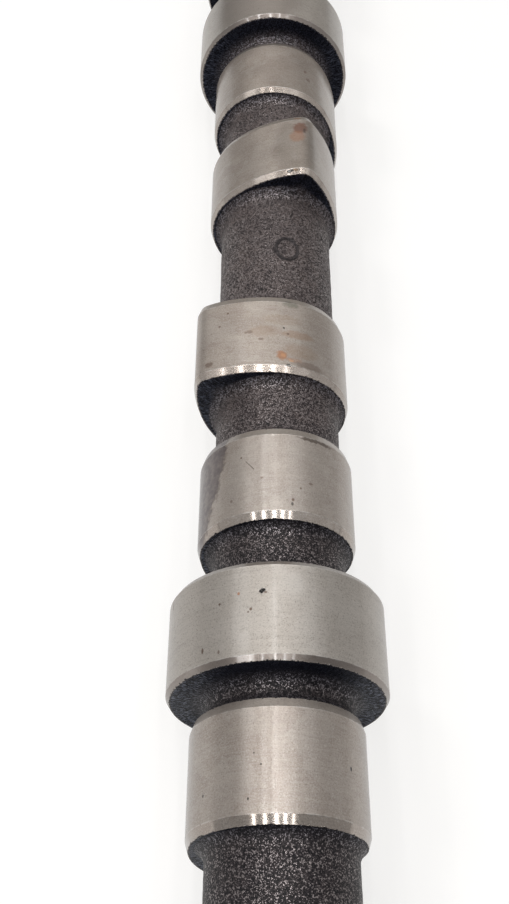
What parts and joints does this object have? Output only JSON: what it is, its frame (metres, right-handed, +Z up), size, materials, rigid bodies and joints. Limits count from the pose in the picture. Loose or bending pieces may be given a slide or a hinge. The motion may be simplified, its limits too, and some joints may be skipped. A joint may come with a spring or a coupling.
{
  "type": "camshaft",
  "caption": "One-piece cast camshaft: ground bearing journals of one size, ground cam lobes in pairs between them, a keyed gear seat at the drive end.",
  "frame": {"origin": "on the shaft's axis, at the middle of the front bearing journal", "axes": "+Y along the shaft's axis towards the rear end, +Z up as the shaft lies on its journals, +X to the right seen from the drive end"},
  "size_m": [0.05, 0.4945, 0.05],
  "materials": {
    "camshaft": "ground semi-matt lands, dark grainy as-cast shaft and side faces"
  },
  "bodies": {
    "root": {"camshaft": "camshaft"}
  },
  "joints": []
}
